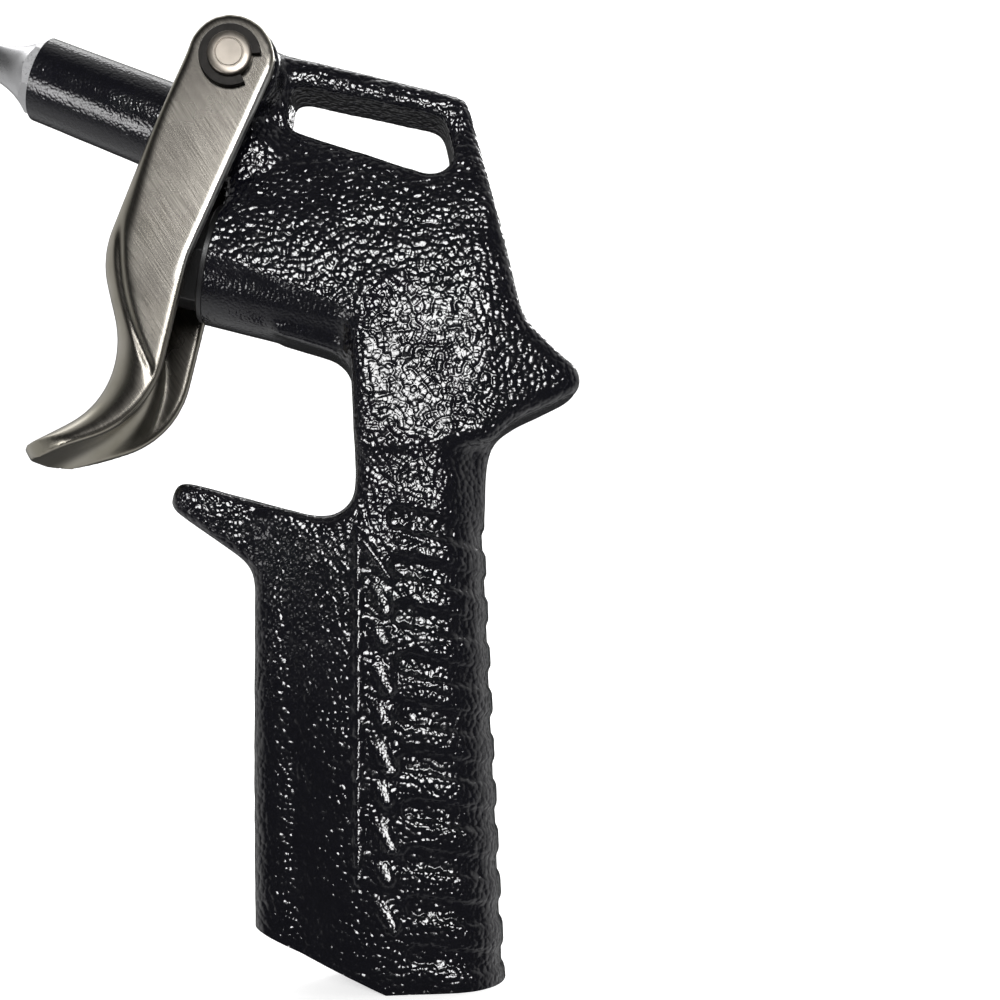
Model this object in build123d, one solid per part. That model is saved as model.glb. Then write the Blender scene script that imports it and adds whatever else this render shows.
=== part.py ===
from build123d import *
import math
import os

# Air blow gun: a cast grip body with a hanging hook, a sheet-steel squeeze lever on a cross pin,
# a push valve in an inclined housing and a turned nozzle.
# Frame: origin at the centre of the air inlet's mouth, +Z up along the inlet, nozzle towards -X,
# rear spur towards +X. Y = 0 is the mirror plane. Millimetres throughout.

# ---- Grip ----
GRIP_REAR_X = 8.8
GRIP_REAR_HALF = 9.0
GRIP_REAR_ROUND = 7.6
GRIP_FRONT_HALF = 7.2
GRIP_FRONT_ROUND = 4.5
GRIP_FRONT_BOTTOM_X = -27.2
GRIP_FRONT_TOP_X = -24.2
GRIP_TOP_Z = 79.0
BOTTOM_FRONT_X = -8.4

# ---- Head plate with the hanging hook ----
HEAD_BOTTOM_Z = 76.0
HEAD_TOP_Z = 140.0
HEAD_LOW_HALF = 8.8
HEAD_TAPER_START_Z = 107.0
HEAD_TAPER_END_Z = 121.0
HOOK_HALF = 4.5
SPUR_HALF = 6.0
SPUR_TIP_X = 23.3
SPUR_ROOT_HALF = 5.2
SPUR_ROOT_X = (4.0, 14.0)
SPUR_ROOT_Z = (66.0, 78.0)
HEAD_FRONT_X = -40.0
GUARD_HALF = 6.2
GUARD_ROOT_X = -12.0
GUARD_FOOT_Z = 54.0
EDGE_ROUND = 1.4
HOOK_TOP_Z = 124.9
HOOK_FRONT_X = -16.0

# ---- Barrel ----
BARREL_FACE = (-51.9, 132.5)
BARREL_TILT = 24.1
BARREL_FACE_R = 5.95
BARREL_ROOT_R = 6.6
BARREL_LENGTH = 33.0
BARREL_BORE_R = 2.6
BARREL_BORE_LENGTH = 47.0
BARREL_THREAD_R = 4.0
BARREL_THREAD_DEPTH = 10.0
BARREL_SEAL_R = 4.9
BARREL_SEAL_DEPTH = 1.6

# ---- Pivot ----
PIVOT = (-23.5, 129.6)
BOSS_R = 6.5
BOSS_HALF = 9.5
PIN_R = 3.0
PIN_FIT = 0.02
EAR_FIT = 0.05

# ---- Valve housing: distances along its axis are measured inwards from the mouth ----
MOUTH = (-28.1, 104.5)
VALVE_TILT = -15.7
HOUSING_MOUTH_R = 8.75
HOUSING_ROOT_R = 9.3
HOUSING_LENGTH = 26.0
HOUSING_ROOT_HALF = 5.5
CAP_THREAD_R = 7.0
CAP_THREAD_DEPTH = 5.2
CHAMBER_R = 6.2
CAGE_SHOULDER = 22.0
SPRING_BORE_R = 5.0
SPRING_BORE_END = 36.0
PASSAGE_R = 2.0
PASSAGE_START = (-19.5, 106.3)
PASSAGE_END = (-9.5, 113.5)

# ---- Air inlet, G 1/4 ----
INLET_THREAD_R = 5.9
INLET_THREAD_DEPTH = 13.0
INLET_CHANNEL_R = 4.0
INLET_CHANNEL_TOP = 96.0

# ---- Lever ----
LEVER_HALF = 12.0
SHEET = 2.0
BEND_R = 4.5
NOSE_PLAN_R = 7.0
EAR_R = 5.9
WEB_TOP_DISTANCE = 17.5
LEVER_TILT = 27.0

# ---- Pin and clip ----
PIN_END = 13.7
PIN_HEAD_R = 4.4
PIN_HEAD_THICK = 1.3
CLIP_GAP = 0.1
CLIP_THICK = 0.8
CLIP_OUTER_R = 4.25
PIN_GROOVE_R = 2.5
CLIP_INNER_R = 2.52
CLIP_MOUTH_HALF_ANGLE = 32.0
CLIP_MOUTH_DIRECTION = -32.0

# ---- Valve cap ----
FLANGE_R = 8.5
FLANGE_THICK = 1.0
HEX_ACROSS_FLATS = 13.0
HEX_END = 6.5
HEX_CHAMFER = 0.8
CAP_SHANK_R = 6.95
CAP_SHANK_END = 5.0
CAP_NOSE_R = 6.15
CAP_NOSE_END = 8.0
SEAL_GROOVE_R = 4.9
SEAL_MAJOR_R = 5.55
SEAL_MINOR_R = 0.62
SEAL_SLOT = 1.5
CAP_SEAL_AT = 6.6

# ---- Valve cage ----
CAGE_START = 8.05
CAGE_R = 6.15
CAGE_RELIEF_R = 5.0
CAGE_RELIEF = (9.2, 13.2)
CAGE_PORT_AT = 11.2
CAGE_PORT_R = 1.5
CAGE_BORE_R = 3.6
CAGE_SEAT_START = 19.5
CAGE_SEAL_AT = 16.15
SEAT_R = 2.9
SEAT_LIP_R = 3.5
SEAT_LIP_END = 22.5

# ---- Valve stem and poppet ----
STEM_R = 2.0
STEM_FIT = 0.05
STEM_TIP = -11.28
STEM_GUIDE_END = 9.0
STEM_NECK_R = 1.5
STEM_COLLAR_R = 2.3
STEM_COLLAR_START = 21.5
STEM_END = 28.0
STEM_SEAL_AT = 3.0
STEM_SEAL_SLOT = 0.9
STEM_SEAL_GROOVE_R = 1.2
STEM_SEAL_MAJOR_R = 1.62
STEM_SEAL_MINOR_R = 0.41
POPPET_START = 22.52
POPPET_R = 4.2
POPPET_THICK = 2.2
WASHER_R = 4.0
WASHER_THICK = 0.8
NUT_ACROSS_FLATS = 5.0
NUT_THICK = 2.0
SPRING_MEAN_R = 3.4
SPRING_WIRE_R = 0.35
SPRING_TURNS = 6

# ---- Nozzle: distances along the barrel axis, outwards from the barrel face ----
NOZZLE_ACROSS_FLATS = 9.4
NOZZLE_HEX = 0.9
NOZZLE_CORNER_R = 5.5
NOZZLE_FLARE_MIDDLE = (3.55, 3.6)
NOZZLE_NECK_R = 2.5
NOZZLE_NECK_AT = 8.0
NOZZLE_TIP_R = 2.1
NOZZLE_TIP_START = 20.0
NOZZLE_LENGTH = 24.0
NOZZLE_BORE_R = 1.25
NOZZLE_SHANK_R = 3.98
NOZZLE_SHANK = 9.0
NOZZLE_GROOVE_R = 3.62
NOZZLE_SEAL_MAJOR_R = 4.25
NOZZLE_SEAL_MINOR_R = 0.6
NOZZLE_SEAL_AT = 0.8

CUT_MARGIN = 3.0
BEYOND = 100.0


# ---- Placement helpers ----
def side_face(points, radii):
    """A face in the mirror plane from corner points (X, Z), each corner with its own radius."""
    return make_face(Plane.XZ * FilletPolyline(*points, radius=radii, close=True))


def slab(points, radii, half):
    """The side outline extruded evenly to both sides of the mirror plane."""
    return extrude(side_face(points, radii), amount=half, both=True)


def axis_frame(start, tilt):
    """A plane at a point of the mirror plane whose normal leans by tilt degrees from +X."""
    lean = math.radians(tilt)
    along = Vector(math.cos(lean), 0, math.sin(lean))
    return Plane(origin=(start[0], 0, start[1]), x_dir=(0, 1, 0), z_dir=along)


def rod(frame, radius, start, end):
    """A cylinder on a frame's normal, from one distance to another."""
    return frame * Pos(0, 0, (start + end) / 2) * Cylinder(radius, end - start)


def ring(frame, outer, inner, start, end):
    return rod(frame, outer, start, end) - rod(frame, inner, start - CUT_MARGIN, end + CUT_MARGIN)


def o_ring(frame, major, minor, at):
    return frame * Pos(0, 0, at) * Torus(major, minor)


def hexagon(frame, across_flats, start, end, turn=0):
    """A hexagonal prism on a frame's normal. At no turn one corner points to each side."""
    section = Rot(0, 0, turn) * RegularPolygon(across_flats / math.sqrt(3), 6)
    return frame * Pos(0, 0, start) * extrude(section, amount=end - start)


def revolved(frame, outline):
    """A turned solid: outline points are (radius, distance along the frame's normal)."""
    profile = make_face(Plane.XZ * Polyline(*outline, close=True))
    return frame * revolve(profile, Axis.Z)


VALVE = axis_frame(MOUTH, VALVE_TILT)
BARREL = axis_frame(BARREL_FACE, -BARREL_TILT)
NOZZLE = axis_frame(BARREL_FACE, 180 - BARREL_TILT)
UP = Plane.XY
PIVOT_FRAME = Plane(origin=(PIVOT[0], 0, PIVOT[1]), x_dir=(1, 0, 0), z_dir=(0, -1, 0))


# ---- Body casting ----
BODY_OUTLINE = [
    ((GRIP_REAR_X, 0.0), 0.0),
    ((BOTTOM_FRONT_X, 0.0), 0.5),
    ((-27.2, 9.4), 1.5),
    ((-24.4, 60.4), 5.0),
    ((-36.0, 69.4), 1.8),
    ((-34.6, 73.3), 1.6),
    ((-15.5, 67.2), 5.2),
    ((-9.3, 66.2), 4.6),
    ((-9.3, 96.2), 0.0),
    ((-27.8, 104.4), 0.0),
    ((-25.7, 112.9), 0.0),
    ((-27.0, 120.0), 0.0),
    ((-19.0, 134.1), 0.0),
    ((9.4, 125.9), 1.8),
    ((15.3, 93.6), 7.0),
    ((23.3, 85.9), 1.6),
    ((23.1, 83.0), 1.4),
    ((9.6, 77.5), 8.0),
    ((GRIP_REAR_X, 66.0), 0.0),
]


def body_silhouette(half):
    points = [corner for corner, _ in BODY_OUTLINE]
    radii = [radius for _, radius in BODY_OUTLINE]
    return slab(points, radii, half)


def grip_section(height, front_x):
    """The grip's egg-like section: wide and round behind, narrower in front."""
    corners = [
        (GRIP_REAR_X, -GRIP_REAR_HALF),
        (GRIP_REAR_X, GRIP_REAR_HALF),
        (front_x, GRIP_FRONT_HALF),
        (front_x, -GRIP_FRONT_HALF),
    ]
    radii = [GRIP_REAR_ROUND, GRIP_REAR_ROUND, GRIP_FRONT_ROUND, GRIP_FRONT_ROUND]
    return make_face(Plane.XY.offset(height) * FilletPolyline(*corners, radius=radii, close=True))


def grip():
    column = loft([grip_section(0, GRIP_FRONT_BOTTOM_X), grip_section(GRIP_TOP_Z, GRIP_FRONT_TOP_X)])
    return body_silhouette(GRIP_REAR_HALF + CUT_MARGIN) & column


def is_rear_edge(edge):
    """The head's long outer edges: along the top bar, down the rear and round the spur."""
    middle = edge.center()
    above_barrel = middle.Z > HOOK_TOP_Z and middle.X > HOOK_FRONT_X
    behind_grip = middle.X > GRIP_REAR_X + EDGE_ROUND and middle.Z > HEAD_BOTTOM_Z + EDGE_ROUND
    return abs(middle.Y) > HOOK_HALF - EDGE_ROUND and (above_barrel or behind_grip)


def head():
    """The flat head: as thick as the neck at its foot, thinning to the hanging hook's frame."""
    low = [(HEAD_LOW_HALF, HEAD_BOTTOM_Z), (HEAD_LOW_HALF, HEAD_TAPER_START_Z)]
    high = [(HOOK_HALF, HEAD_TAPER_END_Z), (HOOK_HALF, HEAD_TOP_Z)]
    near = low + high
    far = [(-half, height) for half, height in reversed(near)]
    front_view = extrude(make_face(Plane.YZ * Polyline(*near, *far, close=True)), amount=BEYOND, both=True)
    plan = [
        (SPUR_TIP_X + CUT_MARGIN, -SPUR_HALF),
        (SPUR_TIP_X + CUT_MARGIN, SPUR_HALF),
        (GRIP_REAR_X, HEAD_LOW_HALF),
        (HEAD_FRONT_X, HEAD_LOW_HALF),
        (HEAD_FRONT_X, -HEAD_LOW_HALF),
        (GRIP_REAR_X, -HEAD_LOW_HALF),
    ]
    plan_view = extrude(make_face(Polyline(*plan, close=True)), amount=HEAD_TOP_Z)
    plate = body_silhouette(GRIP_REAR_HALF + CUT_MARGIN) & front_view & plan_view
    return fillet(plate.edges().filter_by(is_rear_edge), EDGE_ROUND)


def spur_root():
    """The web in the hollow under the spur, between the head's foot and the grip's rear."""
    span_x = SPUR_ROOT_X[1] - SPUR_ROOT_X[0]
    span_z = SPUR_ROOT_Z[1] - SPUR_ROOT_Z[0]
    middle = Pos(sum(SPUR_ROOT_X) / 2, 0, sum(SPUR_ROOT_Z) / 2)
    return body_silhouette(SPUR_ROOT_HALF) & middle * Box(span_x, 2 * GRIP_REAR_HALF, span_z)


def is_guard_edge(edge):
    middle = edge.center()
    return abs(middle.Y) > EDGE_ROUND and middle.X < GUARD_ROOT_X - EDGE_ROUND / 2


def guard():
    """The finger guard's prong in front of the grip."""
    corners = [
        ((GUARD_ROOT_X, GUARD_FOOT_Z), 0.0),
        ((-24.4, GUARD_FOOT_Z), 0.0),
        ((-24.4, 60.4), 5.0),
        ((-36.0, 69.4), 1.8),
        ((-34.6, 73.3), 1.6),
        ((-15.5, 67.2), 0.0),
        ((GUARD_ROOT_X, 67.0), 0.0),
    ]
    points = [corner for corner, _ in corners]
    radii = [radius for _, radius in corners]
    prong = slab(points, radii, GUARD_HALF)
    return fillet(prong.edges().filter_by(is_guard_edge), EDGE_ROUND)


def barrel():
    cone = BARREL * Pos(0, 0, BARREL_LENGTH / 2) * Cone(BARREL_FACE_R, BARREL_ROOT_R, BARREL_LENGTH)
    return cone + BARREL * Pos(0, 0, BARREL_LENGTH) * Sphere(BARREL_ROOT_R)


def housing():
    cone = VALVE * Pos(0, 0, HOUSING_LENGTH / 2) * Cone(HOUSING_MOUTH_R, HOUSING_ROOT_R, HOUSING_LENGTH)
    return cone & Pos(0, 0, HEAD_BOTTOM_Z) * Box(BEYOND, BEYOND, 2 * BEYOND)


def housing_root():
    """The blend under the valve housing where it runs into the neck."""
    points = [(-9.3, 80.0), (-9.3, 89.4), (-20.0, 93.3), (-20.0, 98.0), (-4.0, 98.0), (-4.0, 80.0)]
    return slab(points, [0, 4.5, 0, 0, 0, 0], HOUSING_ROOT_HALF)


def hook_slot():
    """The slot that the gun hangs by, wider at its rear end."""
    points = [(-15.9, 128.8), (5.7, 123.1), (7.2, 112.8), (-16.6, 122.4)]
    return slab(points, [1.6, 2.6, 3.0, 1.0], GRIP_REAR_HALF + CUT_MARGIN)


def valve_bore():
    bore = rod(VALVE, CAP_THREAD_R, -CUT_MARGIN, CAP_THREAD_DEPTH)
    bore += rod(VALVE, CHAMBER_R, 0, CAGE_SHOULDER)
    return bore + rod(VALVE, SPRING_BORE_R, 0, SPRING_BORE_END)


def outlet_passage():
    run = Vector(PASSAGE_END[0] - PASSAGE_START[0], 0, PASSAGE_END[1] - PASSAGE_START[1])
    tilt = math.degrees(math.atan2(run.Z, run.X))
    return rod(axis_frame(PASSAGE_START, tilt), PASSAGE_R, 0, run.length)


def barrel_bore():
    bore = rod(BARREL, BARREL_SEAL_R, -CUT_MARGIN, BARREL_SEAL_DEPTH)
    bore += rod(BARREL, BARREL_THREAD_R, -CUT_MARGIN, BARREL_THREAD_DEPTH)
    return bore + rod(BARREL, BARREL_BORE_R, 0, BARREL_BORE_LENGTH)


def inlet_bore():
    thread = rod(UP, INLET_THREAD_R, -CUT_MARGIN, INLET_THREAD_DEPTH)
    return thread + rod(UP, INLET_CHANNEL_R, 0, INLET_CHANNEL_TOP)


def body_casting():
    boss = rod(PIVOT_FRAME, BOSS_R, -BOSS_HALF, BOSS_HALF)
    body = grip() + head() + spur_root() + guard() + barrel() + housing() + housing_root() + boss
    body -= hook_slot()
    body -= rod(PIVOT_FRAME, PIN_R + PIN_FIT, -BOSS_HALF - CUT_MARGIN, BOSS_HALF + CUT_MARGIN)
    return body - valve_bore() - barrel_bore() - outlet_passage() - inlet_bore()


# ---- Lever ----
LEVER_FRONT = [(-28.7, 132.3), (-43.1, 104.0), (-39.9, 86.0), (-56.1, 78.5)]
KNEE_R = 12.0
WAIST_R = 13.0
LEVER_REAR = [
    ((-55.5, 76.0), 0.8),
    ((-51.2, 77.3), 2.5),
    ((-37.0, 81.0), 14.5),
    ((-30.6, 102.7), 12.0),
    ((-18.3, 126.9), 0.0),
]
TIP_NOSE_R = 0.8
CHANNEL_REACH = 30.0


def offset_line(points, distance):
    """Corner points of an open line moved sideways, towards the rear of the lever."""
    legs = [Vector(*end) - Vector(*start) for start, end in zip(points, points[1:])]
    normals = [Vector(-leg.Y, leg.X).normalized() for leg in legs]
    befores = [normals[0]] + normals
    afters = normals + [normals[-1]]
    moved = []
    for point, before, after in zip(points, befores, afters):
        shift = (before + after) * (distance / (1 + before.dot(after)))
        moved.append((point[0] + shift.X, point[1] + shift.Y))
    return moved


def stepped(start, end, distance):
    """The point at a distance past start on the way to end."""
    step = (Vector(*end) - Vector(*start)).normalized() * distance
    return (start[0] + step.X, start[1] + step.Y)


def web_path(inset):
    """The front of the web from its top to past the tip, one inset behind the outside."""
    top, knee, waist, tip = offset_line(LEVER_FRONT, inset)
    points = [stepped(top, knee, WEB_TOP_DISTANCE), knee, waist, stepped(tip, waist, -CUT_MARGIN)]
    return Plane.XZ * FilletPolyline(*points, radius=[KNEE_R - inset, WAIST_R + inset])


def bend_trim(inset, side):
    """The stock outside the bend between the web and one flank, one inset inside the outside."""
    path = web_path(inset)
    half = LEVER_HALF - inset
    radius = BEND_R - inset
    bulge = radius * math.sin(math.radians(45))
    web_end = (half - radius, 0)
    flank_end = (half, side * radius)
    on_bend = (half - radius + bulge, side * (radius - bulge))
    stock = Polyline(flank_end, (half + CUT_MARGIN, side * radius), (half + CUT_MARGIN, -side * CUT_MARGIN),
                     (half - radius, -side * CUT_MARGIN), web_end)
    section = make_face(ThreePointArc(web_end, on_bend, flank_end) + stock)
    section_frame = Plane(origin=path @ 0, x_dir=(0, side, 0), z_dir=path % 0)
    return sweep(section_frame * section, path=path)


def lever_blank():
    """The lever's side shape as a block with bent front corners and a nose rounded in plan."""
    points = LEVER_FRONT + [corner for corner, _ in LEVER_REAR]
    radii = [0.0, KNEE_R, WAIST_R, TIP_NOSE_R] + [radius for _, radius in LEVER_REAR]
    block = slab(points, radii, LEVER_HALF) + rod(PIVOT_FRAME, EAR_R, -LEVER_HALF, LEVER_HALF)
    waist, tip = LEVER_FRONT[-2:]
    tail = Vector(tip[0] - waist[0], 0, tip[1] - waist[1]).normalized()
    tail_frame = Plane(origin=(tip[0], 0, tip[1]), x_dir=tail, z_dir=tail.cross(Vector(0, 1, 0)))
    plan = Pos(-BEYOND, 0) * RectangleRounded(2 * BEYOND, 2 * LEVER_HALF, NOSE_PLAN_R)
    block &= tail_frame * extrude(plan, amount=BEYOND, both=True)
    return block - bend_trim(0, -1) - bend_trim(0, 1)


def lever_channel():
    """The hollow between the flanks, one sheet thickness behind the front."""
    top, knee, waist, tip = offset_line(LEVER_FRONT, SHEET)
    past_tip = stepped(tip, waist, -CUT_MARGIN)
    low = past_tip[1] - CHANNEL_REACH
    behind = top[0] + CHANNEL_REACH
    points = [top, knee, waist, past_tip, (past_tip[0], low), (behind, low), (behind, top[1])]
    radii = [0.0, KNEE_R - SHEET, WAIST_R + SHEET, 0.0, 0.0, 0.0, 0.0]
    hollow = slab(points, radii, LEVER_HALF - SHEET)
    return hollow - bend_trim(SHEET, -1) - bend_trim(SHEET, 1)


def ear_window():
    """The opening above the web, where only the two ears run on to the pin."""
    lean = math.radians(LEVER_TILT)
    up = Vector(math.sin(lean), 0, math.cos(lean))
    web_top = Vector(PIVOT[0], 0, PIVOT[1]) - up * WEB_TOP_DISTANCE
    window_frame = Plane(origin=web_top, x_dir=(0, 1, 0), z_dir=up)
    return window_frame * Pos(0, 0, BEYOND / 2) * Box(2 * (LEVER_HALF - SHEET), BEYOND, BEYOND)


def lever():
    """A channel pressed from sheet: two flanks with ears, joined by a web along the front."""
    pin_hole = rod(PIVOT_FRAME, PIN_R + EAR_FIT, -LEVER_HALF - CUT_MARGIN, LEVER_HALF + CUT_MARGIN)
    return lever_blank() - lever_channel() - ear_window() - pin_hole


# ---- Pivot pin and its clip ----
CLIP_START = LEVER_HALF + CLIP_GAP


def lever_pin():
    head_start = -LEVER_HALF - CLIP_GAP - PIN_HEAD_THICK
    pin = rod(PIVOT_FRAME, PIN_R, head_start, PIN_END)
    pin += rod(PIVOT_FRAME, PIN_HEAD_R, head_start, head_start + PIN_HEAD_THICK)
    groove = rod(PIVOT_FRAME, PIN_HEAD_R, CLIP_START, CLIP_START + CLIP_THICK)
    return pin - (groove - rod(PIVOT_FRAME, PIN_GROOVE_R, CLIP_START, CLIP_START + CLIP_THICK))


def pin_clip():
    clip = ring(PIVOT_FRAME, CLIP_OUTER_R, CLIP_INNER_R, CLIP_START, CLIP_START + CLIP_THICK)
    spread = math.radians(CLIP_MOUTH_HALF_ANGLE)
    reach = 2 * CLIP_OUTER_R
    wedge = make_face(Polyline((0, 0), (reach, -reach * math.tan(spread)),
                               (reach, reach * math.tan(spread)), close=True))
    mouth = extrude(Rot(0, 0, CLIP_MOUTH_DIRECTION) * wedge, amount=2 * PIN_END, both=True)
    return clip - PIVOT_FRAME * mouth


# ---- Valve parts ----
def valve_cap():
    cap = rod(VALVE, FLANGE_R, -FLANGE_THICK, 0)
    bevel = revolved(VALVE, [(0, 0), (0, -HEX_END), (HEX_ACROSS_FLATS / 2, -HEX_END),
                             (HEX_ACROSS_FLATS / 2 + 2 * HEX_CHAMFER, -HEX_END + HEX_CHAMFER),
                             (HEX_ACROSS_FLATS / 2 + 2 * HEX_CHAMFER, 0)])
    cap += hexagon(VALVE, HEX_ACROSS_FLATS, -HEX_END, 0) & bevel
    cap += rod(VALVE, CAP_SHANK_R, 0, CAP_SHANK_END)
    cap += rod(VALVE, CAP_NOSE_R, CAP_SHANK_END, CAP_NOSE_END)
    half_slot = SEAL_SLOT / 2
    cap -= ring(VALVE, CAP_THREAD_R, SEAL_GROOVE_R, CAP_SEAL_AT - half_slot, CAP_SEAL_AT + half_slot)
    return cap - rod(VALVE, STEM_R + STEM_FIT, -HEX_END - CUT_MARGIN, CAP_NOSE_END + CUT_MARGIN)


def valve_cage():
    """The bored cage whose rear lip is the valve seat, with cross ports to the outlet passage."""
    cage = rod(VALVE, CAGE_R, CAGE_START, CAGE_SHOULDER)
    cage += rod(VALVE, SEAT_LIP_R, CAGE_SHOULDER, SEAT_LIP_END)
    cage -= ring(VALVE, CAP_THREAD_R, CAGE_RELIEF_R, *CAGE_RELIEF)
    half_slot = SEAL_SLOT / 2
    cage -= ring(VALVE, CAP_THREAD_R, SEAL_GROOVE_R, CAGE_SEAL_AT - half_slot, CAGE_SEAL_AT + half_slot)
    cage -= rod(VALVE, CAGE_BORE_R, CAGE_START - CUT_MARGIN, CAGE_SEAT_START)
    cage -= rod(VALVE, SEAT_R, CAGE_START, SEAT_LIP_END + CUT_MARGIN)
    port = Cylinder(CAGE_PORT_R, 2 * CAGE_R + CUT_MARGIN)
    for turn in (0, 90):
        cage -= VALVE * Pos(0, 0, CAGE_PORT_AT) * Rot(0, 0, turn) * Rot(90, 0, 0) * port
    return cage


def valve_stem():
    straight_start = STEM_TIP + STEM_R
    stem = rod(VALVE, STEM_R, straight_start, STEM_GUIDE_END)
    stem += VALVE * Pos(0, 0, straight_start) * Sphere(STEM_R)
    stem += rod(VALVE, STEM_NECK_R, STEM_GUIDE_END, STEM_END)
    stem += rod(VALVE, STEM_COLLAR_R, STEM_COLLAR_START, POPPET_START)
    half_slot = STEM_SEAL_SLOT / 2
    return stem - ring(VALVE, STEM_R + CUT_MARGIN, STEM_SEAL_GROOVE_R,
                       STEM_SEAL_AT - half_slot, STEM_SEAL_AT + half_slot)


WASHER_START = POPPET_START + POPPET_THICK
NUT_START = WASHER_START + WASHER_THICK


def poppet_nut():
    nut = hexagon(VALVE, NUT_ACROSS_FLATS, NUT_START, NUT_START + NUT_THICK)
    return nut - rod(VALVE, STEM_NECK_R, NUT_START - CUT_MARGIN, NUT_START + NUT_THICK + CUT_MARGIN)


def valve_spring():
    length = SPRING_BORE_END - NUT_START - 2 * SPRING_WIRE_R
    coil = Helix(pitch=length / SPRING_TURNS, height=length, radius=SPRING_MEAN_R)
    wire = sweep(Plane(origin=coil @ 0, z_dir=coil % 0) * Circle(SPRING_WIRE_R), path=coil)
    return VALVE * Pos(0, 0, NUT_START + SPRING_WIRE_R) * wire


# ---- Nozzle ----
def nozzle():
    """A turned nozzle with a hexagonal root, a hollowed flare and a plain tube."""
    flare_start = (NOZZLE_CORNER_R, NOZZLE_HEX)
    flare_end = (NOZZLE_NECK_R, NOZZLE_NECK_AT)
    flare = ThreePointArc(flare_start, NOZZLE_FLARE_MIDDLE, flare_end)
    outside = Polyline(flare_end, (NOZZLE_NECK_R, NOZZLE_TIP_START), (NOZZLE_TIP_R, NOZZLE_LENGTH),
                       (0, NOZZLE_LENGTH), (0, 0), (NOZZLE_CORNER_R, 0), flare_start)
    turned = NOZZLE * revolve(make_face(Plane.XZ * (flare + outside)), Axis.Z)
    body = turned & hexagon(NOZZLE, NOZZLE_ACROSS_FLATS, 0, NOZZLE_LENGTH, turn=30)
    body += rod(NOZZLE, NOZZLE_SHANK_R, -NOZZLE_SHANK, 0)
    body -= ring(NOZZLE, NOZZLE_SHANK_R + CUT_MARGIN, NOZZLE_GROOVE_R, -BARREL_SEAL_DEPTH, 0)
    return body - rod(NOZZLE, NOZZLE_BORE_R, -NOZZLE_SHANK - CUT_MARGIN, NOZZLE_LENGTH + CUT_MARGIN)


PARTS = {
    "body_casting": body_casting,
    "lever": lever,
    "lever_pin": lever_pin,
    "pin_clip": pin_clip,
    "valve_cap": valve_cap,
    "cap_seal": lambda: o_ring(VALVE, SEAL_MAJOR_R, SEAL_MINOR_R, CAP_SEAL_AT),
    "valve_cage": valve_cage,
    "cage_seal": lambda: o_ring(VALVE, SEAL_MAJOR_R, SEAL_MINOR_R, CAGE_SEAL_AT),
    "valve_stem": valve_stem,
    "stem_seal": lambda: o_ring(VALVE, STEM_SEAL_MAJOR_R, STEM_SEAL_MINOR_R, STEM_SEAL_AT),
    "poppet_seal": lambda: ring(VALVE, POPPET_R, STEM_NECK_R, POPPET_START, WASHER_START),
    "poppet_washer": lambda: ring(VALVE, WASHER_R, STEM_NECK_R, WASHER_START, NUT_START),
    "poppet_nut": poppet_nut,
    "valve_spring": valve_spring,
    "nozzle": nozzle,
    "nozzle_seal": lambda: o_ring(NOZZLE, NOZZLE_SEAL_MAJOR_R, NOZZLE_SEAL_MINOR_R, -NOZZLE_SEAL_AT),
}

os.makedirs("parts", exist_ok=True)
for name, make in PARTS.items():
    export_step(make(), f"parts/{name}.step")
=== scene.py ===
import math

import bmesh
import bpy
import numpy as np
from mathutils import Matrix, Vector, noise


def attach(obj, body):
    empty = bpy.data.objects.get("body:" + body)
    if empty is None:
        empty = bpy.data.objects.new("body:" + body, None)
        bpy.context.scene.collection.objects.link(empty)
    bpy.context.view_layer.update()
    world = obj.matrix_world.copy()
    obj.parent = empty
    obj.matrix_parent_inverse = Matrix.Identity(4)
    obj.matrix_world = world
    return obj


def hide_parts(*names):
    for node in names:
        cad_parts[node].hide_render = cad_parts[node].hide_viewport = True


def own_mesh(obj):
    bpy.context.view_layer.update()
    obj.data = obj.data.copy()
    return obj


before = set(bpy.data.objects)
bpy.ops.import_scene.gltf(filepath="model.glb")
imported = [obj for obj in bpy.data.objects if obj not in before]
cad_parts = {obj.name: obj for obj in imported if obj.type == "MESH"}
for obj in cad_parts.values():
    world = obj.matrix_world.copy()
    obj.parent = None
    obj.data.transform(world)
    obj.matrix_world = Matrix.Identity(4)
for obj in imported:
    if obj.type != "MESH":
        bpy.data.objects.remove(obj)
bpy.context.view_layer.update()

# Lengths are in millimetres in the values below, and in metres in the meshes and in the studio.
MM = 0.001
ROUND_SEGMENTS = 96

PIVOT = (-23.5, 129.6)
BARREL_FACE = (-51.9, 132.5)
BARREL_TILT = 24.1
MOUTH = (-28.1, 104.5)
VALVE_TILT = -15.7


# ---- Placement ----
def axis_matrix(start, tilt):
    """Local +Z runs from a point (X, Z) of the mirror plane, tilted from +X, and local X is world Y."""
    lean = math.radians(tilt)
    along = Vector((math.cos(lean), 0, math.sin(lean)))
    side = Vector((0, 1, 0))
    return frame_matrix(Vector((start[0] * MM, 0, start[1] * MM)), side, along)


def frame_matrix(origin, x_dir, z_dir):
    """A right-handed frame at an origin, from its own X and Z directions."""
    y_dir = z_dir.cross(x_dir)
    matrix = Matrix((x_dir, y_dir, z_dir)).transposed().to_4x4()
    matrix.translation = origin
    return matrix


VALVE = axis_matrix(MOUTH, VALVE_TILT)
BARREL = axis_matrix(BARREL_FACE, -BARREL_TILT)
INLET = frame_matrix(Vector((0, 0, 0)), Vector((1, 0, 0)), Vector((0, 0, 1)))
CROSS = frame_matrix(Vector((PIVOT[0] * MM, 0, PIVOT[1] * MM)), Vector((1, 0, 0)), Vector((0, -1, 0)))


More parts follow.
